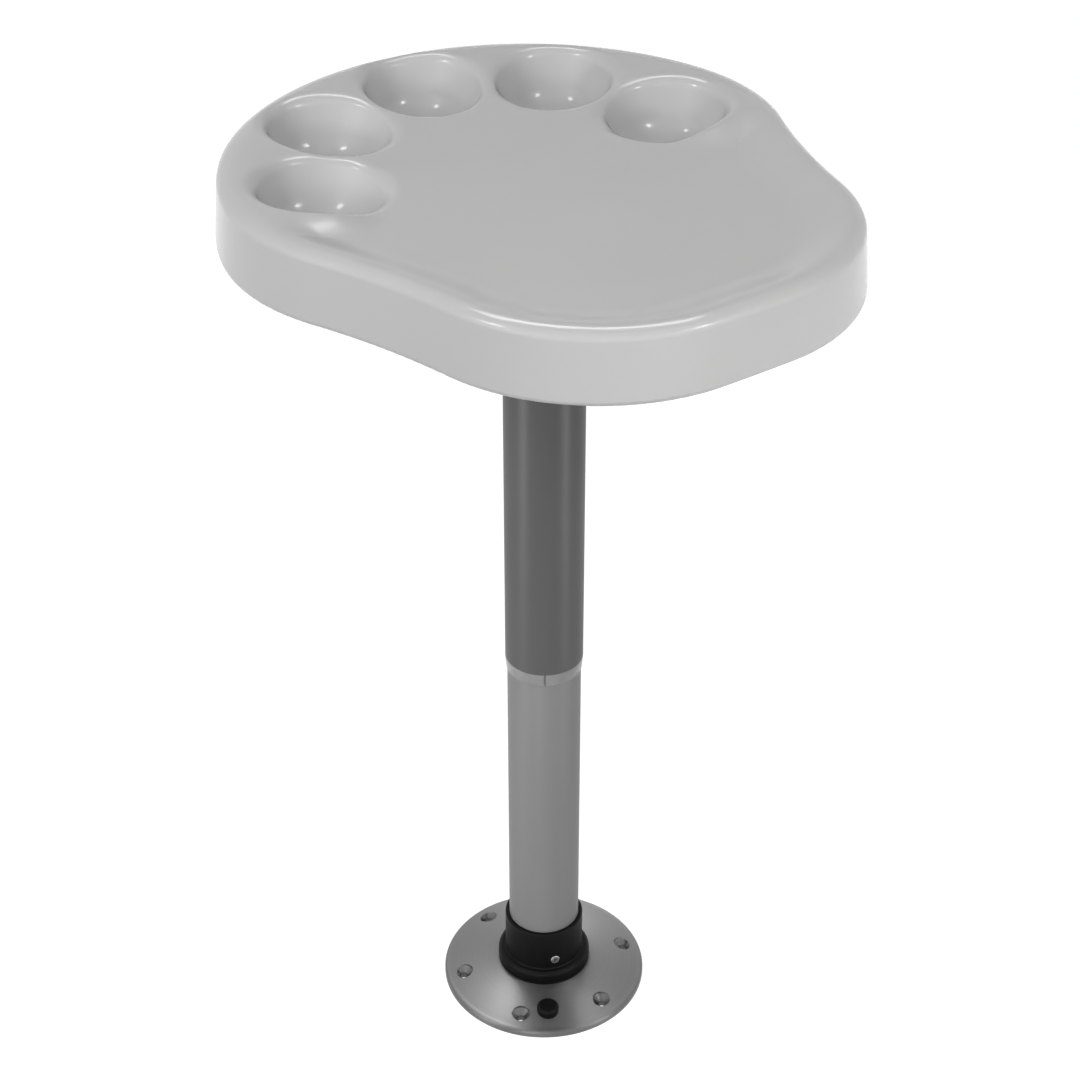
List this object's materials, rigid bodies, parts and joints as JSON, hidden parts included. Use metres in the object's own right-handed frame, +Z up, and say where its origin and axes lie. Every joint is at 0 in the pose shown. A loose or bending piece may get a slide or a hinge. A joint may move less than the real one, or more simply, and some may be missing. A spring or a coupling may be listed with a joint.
{
  "type": "single pole camper table",
  "caption": "Small moulded table top with cup wells and a raised border, on a telescoping pole in a round floor base with a push-button release.",
  "frame": {"origin": "centre of the floor plate's underside, on the pole's axis", "axes": "+Z up along the pole, -Y towards the narrow front of the table top, +Y towards the cup wells"},
  "size_m": [0.4448, 0.497, 0.7785],
  "materials": {
    "top_plastic": "glossy moulded polyethylene",
    "tube_aluminium": "satin anodised",
    "plate_aluminium": "turned and brushed",
    "flange_aluminium": "as cast",
    "black_plastic": "satin moulded",
    "nylon": "natural nylon",
    "steel": "stainless",
    "brass": "plain"
  },
  "bodies": {
    "base": {"floor_plate": "plate_aluminium", "pole_collar": "black_plastic", "collar_screws": "steel", "collar_set_screw": "steel", "swivel_bearing": "nylon", "latch_cover": "steel", "cover_screws": "steel", "button_spring": "steel", "latch_spring": "steel"},
    "lower_pole": {"lower_tube": "tube_aluminium", "foot_plug": "nylon", "lower_guide": "nylon", "friction_ring": "nylon", "friction_cone": "nylon", "friction_stud": "steel", "friction_nut": "steel"},
    "upper_pole": {"table_top": "top_plastic", "top_flange": "flange_aluminium", "top_inserts": "brass", "flange_screws": "steel", "flange_clamp_screws": "steel", "upper_sleeve": "tube_aluminium", "sleeve_bush": "nylon"},
    "button": {"release_button": "black_plastic"},
    "latch": {"latch_slide": "steel"}
  },
  "joints": [
    {"name": "pole_swivel", "type": "hinge", "parent": "base", "child": "lower_pole", "pos_m": [0, 0, 0], "axis": [0, 0, 1], "continuous": true},
    {"name": "height_slide", "type": "slide", "parent": "lower_pole", "child": "upper_pole", "axis": [0, 0, 1], "range_m": [-0.265, 0.04]},
    {"name": "button_press", "type": "slide", "parent": "base", "child": "button", "axis": [0, 0, -1], "range_m": [0, 0.003], "stiffness_N_per_m": 600, "springref_m": -0.003, "deforming": ["button_spring"]},
    {"name": "latch_slide", "type": "slide", "parent": "base", "child": "latch", "axis": [-0.5299, -0.848, 0], "range_m": [0, 0.003], "stiffness_N_per_m": 300, "springref_m": -0.003, "deforming": ["latch_spring"]}
  ],
  "couplings": [
    {"joint": "latch_slide", "follows": "button_press", "ratio": 1}
  ]
}
